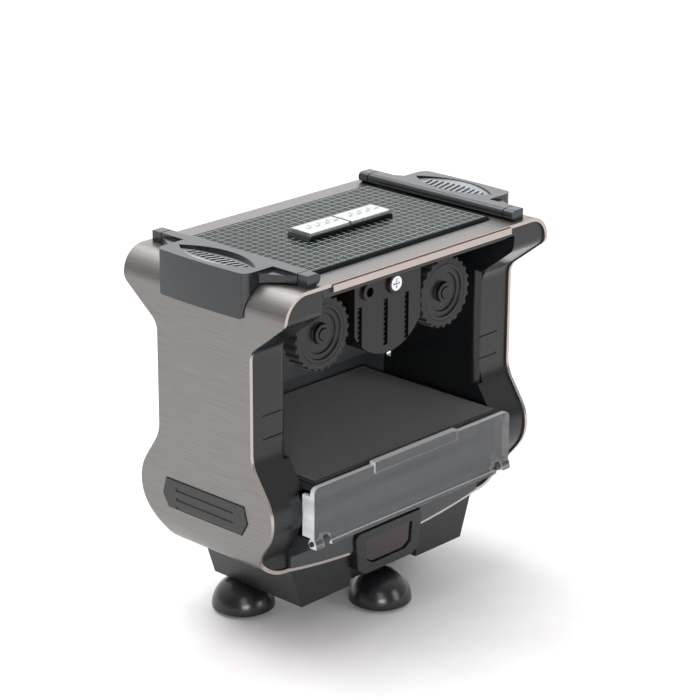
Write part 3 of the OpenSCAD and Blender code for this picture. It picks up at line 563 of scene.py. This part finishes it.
def stud_tree():
    """Short cones in a staggered row, for the cast relief on a badge bar."""
    tree, size = size_tree("badge_relief", ("Start", "Pitch", "Stagger", "Radius", "Height", "Level"),
                           ("Count",))
    gap = add(tree, "ShaderNodeCombineXYZ", {"X": size["Pitch"]})
    start = add(tree, "ShaderNodeCombineXYZ", {"X": size["Start"], "Z": size["Level"]})
    line = add(tree, "GeometryNodeMeshLine", {"Count": size["Count"], "Start Location": start.outputs[0],
                                              "Offset": gap.outputs[0]}, mode="OFFSET")
    index = add(tree, "GeometryNodeInputIndex")
    odd = add(tree, "ShaderNodeMath", {0: index.outputs[0], 1: 2.0}, operation="MODULO")
    side = add(tree, "ShaderNodeMapRange", {"Value": odd.outputs[0], "To Min": -1.0, "To Max": 1.0})
    away = add(tree, "ShaderNodeMath", {0: side.outputs[0], 1: size["Stagger"]}, operation="MULTIPLY")
    shift = add(tree, "ShaderNodeCombineXYZ", {"Y": away.outputs[0]})
    moved = add(tree, "GeometryNodeSetPosition", {"Geometry": line.outputs[0], "Offset": shift.outputs[0]})
    top = add(tree, "ShaderNodeMath", {0: size["Radius"], 1: STUD_TAPER}, operation="MULTIPLY")
    stud = add(tree, "GeometryNodeMeshCone", {"Vertices": 12, "Radius Top": top.outputs[0],
                                              "Radius Bottom": size["Radius"], "Depth": size["Height"]})
    turn = add(tree, "ShaderNodeMath", {0: odd.outputs[0], 1: STUD_TURN}, operation="MULTIPLY")
    yaw = add(tree, "ShaderNodeCombineXYZ", {"Z": turn.outputs[0]})
    shape = add(tree, "ShaderNodeCombineXYZ", {
        "X": STUD_STRETCH[0], "Y": STUD_STRETCH[1], "Z": 1.0})
    studs = add(tree, "GeometryNodeInstanceOnPoints", {
        "Points": moved.outputs[0], "Instance": stud.outputs[0], "Rotation": yaw.outputs[0],
        "Scale": shape.outputs[0]})
    end_tree(tree, studs.outputs[0], "badge")
    return tree


class SHUFFLER_OT_top(bpy.types.Operator):
    """Finishes the grid plate and the badge"""
    bl_idname = "shuffler.top"
    bl_label = "Top plate and badge"

    def execute(self, context):
        s = context.scene.shuffler_sizes
        rounded_copy("grid_plate", "plate", 0.4, 3)
        low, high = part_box("grid_plate")
        pitch, width = s.line_pitch * MM, s.line_width * MM
        length, depth = (b - a - 2 * GRID_MARGIN * MM for a, b in ((low.x, high.x), (low.y, high.y)))
        grow("grid_lines", grid_line_tree(), {
            "Length": length, "Depth": depth, "Pitch": pitch, "Width": width,
            "Height": LINE_THICKNESS * MM, "Level": high.z + LINE_LIFT * MM,
            "Across": int(length / pitch) + 1, "Along": int(depth / pitch) + 1}, "lines", "shell")
        rounded_copy("badge_plinth", "plinth", 0.15)
        relief = stud_tree()
        for side in ("left", "right"):
            bar = rounded_copy("badge_bar_" + side, "badge", 0.2)
            low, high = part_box("badge_bar_" + side)
            # the bar's face is sunk, and the relief stands up from it
            for v in bar.data.vertices:
                if v.co.z > high.z - BADGE_SKIN * MM:
                    v.co.z -= BADGE_SINK * MM
            room = high.x - low.x - 2 * STUD_INSET * MM
            grow("badge_relief_" + side, relief, {
                "Start": low.x + STUD_INSET * MM, "Pitch": room / (STUD_COUNT - 1),
                "Stagger": STUD_STAGGER * MM, "Radius": STUD_RADIUS * MM, "Height": STUD_HEIGHT * MM,
                "Level": high.z - (STUD_HEIGHT + STUD_DROP) * MM, "Count": STUD_COUNT},
                "badge", "shell")
        return {"FINISHED"}


class SHUFFLER_OT_feed(bpy.types.Operator):
    """Finishes the motor pod, wheels, shafts and gears"""
    bl_idname = "shuffler.feed"
    bl_label = "Feed works"

    def execute(self, context):
        rounded_copy("motor_pod", "pod", 0.25)
        rounded_copy("pod_screws", "bright", 0.12)
        rounded_copy("motor", "can")
        rounded_copy("motor_pinion", "brass")
        rounded_copy("idler_pins", "shaft")
        for side in ("left", "right"):
            rounded_copy("idler_gear_" + side, "acetal")
            rounded_copy("drive_gear_" + side, "acetal")
            rounded_copy("feed_shaft_" + side, "shaft", 0.25)
            rounded_copy("feed_hubs_" + side, "hub", 0.25)
            rounded_copy("feed_tyres_" + side, "tyre", 0.15)
        return {"FINISHED"}


class SHUFFLER_OT_platform(bpy.types.Operator):
    """Finishes the card platform with its pad and springs"""
    bl_idname = "shuffler.platform"
    bl_label = "Card platform"

    def execute(self, context):
        rounded_copy("card_platform", "inner", 0.3)
        rounded_copy("platform_pad", "felt", 0.3)
        springs = dress("platform_springs", "spring")
        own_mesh(springs)
        rounded_copy("lower_tray", "inner", 0.35)
        return {"FINISHED"}


class SHUFFLER_OT_gate(bpy.types.Operator):
    """Finishes the clear gate and its pins"""
    bl_idname = "shuffler.gate"
    bl_label = "Clear gate"

    def execute(self, context):
        pane = rounded_copy("clear_gate", "gate", 0.3)
        # the edges of a clear pane gather light; that light is painted on them as a paler colour than its
        # faces
        pane.data.materials.append(MATERIALS["gate_edge_highlight"])
        for p in pane.data.polygons:
            if abs(p.normal.y) < 0.5 and p.area < GATE_EDGE_AREA * MM * MM:
                p.material_index = 1
        rounded_copy("gate_pins", "shaft")
        return {"FINISHED"}


class SHUFFLER_OT_base(bpy.types.Operator):
    """Finishes the base, latch, feet and screws"""
    bl_idname = "shuffler.base"
    bl_label = "Base and latch"

    def execute(self, context):
        rounded_copy("base_shell", "frame", 0.5, 3)
        rounded_copy("latch_frame", "latch", 1.1, 4)
        rounded_copy("latch_button", "button", 0.3, 3)
        dress("latch_spring", "spring")
        rounded_copy("front_foot", "foot", 0.2)
        rounded_copy("rear_feet", "foot", 0.2)
        rounded_copy("foot_pads", "pad_rubber", 0.2)
        rounded_copy("base_screws", "bright", 0.12)
        return {"FINISHED"}


class SHUFFLER_OT_hidden(bpy.types.Operator):
    """Finishes the cells, contacts and circuit board inside"""
    bl_idname = "shuffler.hidden"
    bl_label = "Inside parts"

    def execute(self, context):
        rounded_copy("battery_cells", "cell", 0.3)
        dress("battery_springs", "spring")
        rounded_copy("battery_contacts", "spring")
        rounded_copy("circuit_board", "board")
        rounded_copy("board_parts", "chip")
        return {"FINISHED"}


class SHUFFLER_OT_stage(bpy.types.Operator):
    """Builds the pale floor, the soft lights and the camera"""
    bl_idname = "shuffler.stage"
    bl_label = "Studio"

    def execute(self, context):
        s = context.scene.shuffler_studio
        scene = context.scene
        scene.view_settings.view_transform = "Standard"
        mat, tree, bsdf, coords = start_material("pale_studio_paper", Roughness=0.95)
        mottle = cells(tree, coords, (25, 25, 25), 3.0, 0.6)
        tone = add(tree, "ShaderNodeValToRGB", {"Fac": mottle},
                   [(0.3, linear("#edecec")), (0.7, linear("#f2f1f1"))])
        tree.links.new(tone.outputs[0], bsdf.inputs["Base Color"])
        bm = bmesh.new()
        bmesh.ops.create_circle(bm, cap_ends=True, segments=96, radius=FLOOR_RADIUS)
        mesh = bpy.data.meshes.new("studio_floor")
        bm.to_mesh(mesh)
        bm.free()
        floor = bpy.data.objects.new("studio_floor", mesh)
        mesh.materials.append(mat)
        scene.collection.objects.link(floor)

        # soft room light: bright behind and above, greyer on the near left
        world = bpy.data.worlds.new("studio_air")
        world.use_nodes = True
        sky = world.node_tree
        back = sky.nodes["Background"]
        where = add(sky, "ShaderNodeTexCoord")
        along = add(sky, "ShaderNodeVectorMath", {0: where.outputs["Generated"], 1: (0.5, 0.62, 0.6)},
                    operation="DOT_PRODUCT")
        share = add(sky, "ShaderNodeMapRange", {
            "Value": along.outputs["Value"], "From Min": -1.0, "From Max": 1.0})
        glow = add(sky, "ShaderNodeValToRGB", {"Fac": share.outputs[0]}, [
            (0.0, linear("#5a5958")), (0.45, linear("#7d7a79")),
            (0.85, linear("#e0e0e0")), (0.97, linear("#ffffff"))])
        sky.links.new(glow.outputs[0], back.inputs[0])
        back.inputs[1].default_value = s.room_level
        scene.world = world

        def softbox(name, place, aim, size, power):
            lamp = bpy.data.lights.new(name, "AREA")
            lamp.shape = "RECTANGLE"
            lamp.size, lamp.size_y = size
            lamp.energy = power
            o = bpy.data.objects.new(name, lamp)
            o.location = place
            o.rotation_euler = (Vector(aim) - Vector(place)).to_track_quat("-Z", "Y").to_euler()
            o.visible_camera = False
            scene.collection.objects.link(o)

        centre = (0, 0, 0.08)
        softbox("overhead_softbox", (-0.1, 0.3, 1.1), centre, (1.1, 0.9), s.key_power)
        softbox("left_front_fill", (-0.9, -0.9, 0.7), centre, (0.5, 0.5), s.fill_power * 0.4)
        softbox("right_front_fill", (0.35, -1.2, 0.4), centre, (0.4, 0.7), s.fill_power * 0.7)
        softbox("chamber_fill", (-0.5, -0.62, 0.13), (0.0, 0.0, 0.085), (0.3, 0.12), s.fill_power * 0.4)

        cam = bpy.data.cameras.new("studio_camera")
        cam.sensor_width = 36
        cam.lens = s.lens
        cam.clip_start = 0.01
        yaw, pitch, roll = (math.radians(v) for v in (CAMERA_YAW, CAMERA_PITCH, CAMERA_ROLL))
        ahead = Vector((math.sin(yaw) * math.cos(pitch), math.cos(yaw) * math.cos(pitch), -math.sin(pitch)))
        right = Vector((math.cos(yaw), -math.sin(yaw), 0))
        up = right.cross(ahead)
        x = right * math.cos(roll) + up * math.sin(roll)
        y = up * math.cos(roll) - right * math.sin(roll)
        m = Matrix((x, y, -ahead)).transposed().to_4x4()
        m.translation = Vector(CAMERA_PLACE)
        o = bpy.data.objects.new("studio_camera", cam)
        o.matrix_world = m
        scene.collection.objects.link(o)
        scene.camera = o
        return {"FINISHED"}


class SHUFFLER_PT_panel(bpy.types.Panel):
    """Lists the pieces and their settings"""
    bl_label = "Card shuffler"
    bl_idname = "SHUFFLER_PT_panel"
    bl_space_type = "VIEW_3D"
    bl_region_type = "UI"
    bl_category = "Shuffler"

    def draw(self, context):
        for group in (context.scene.shuffler_finish, context.scene.shuffler_sizes,
                      context.scene.shuffler_studio):
            column = self.layout.column()
            for key in group.bl_rna.properties.keys():
                if key not in ("rna_type", "name"):
                    column.prop(group, key)
        for op in OPERATORS:
            self.layout.operator(op.bl_idname)


GROUPS = ((ShufflerFinish, "shuffler_finish"), (ShufflerSizes, "shuffler_sizes"),
          (StudioSettings, "shuffler_studio"))
OPERATORS = (SHUFFLER_OT_finishes, SHUFFLER_OT_band, SHUFFLER_OT_frames, SHUFFLER_OT_lids,
             SHUFFLER_OT_top, SHUFFLER_OT_feed, SHUFFLER_OT_platform, SHUFFLER_OT_gate, SHUFFLER_OT_base,
             SHUFFLER_OT_hidden, SHUFFLER_OT_stage)


def register():
    for group, name in GROUPS:
        bpy.utils.register_class(group)
        setattr(bpy.types.Scene, name, bpy.props.PointerProperty(type=group))
    for cls in OPERATORS + (SHUFFLER_PT_panel,):
        bpy.utils.register_class(cls)


def unregister():
    for cls in reversed(OPERATORS + (SHUFFLER_PT_panel,)):
        bpy.utils.unregister_class(cls)
    for group, name in reversed(GROUPS):
        delattr(bpy.types.Scene, name)
        bpy.utils.unregister_class(group)


def main():
    register()
    for op in OPERATORS:
        area, name = op.bl_idname.split(".")
        getattr(getattr(bpy.ops, area), name)()


if __name__ == "__main__":
    main()
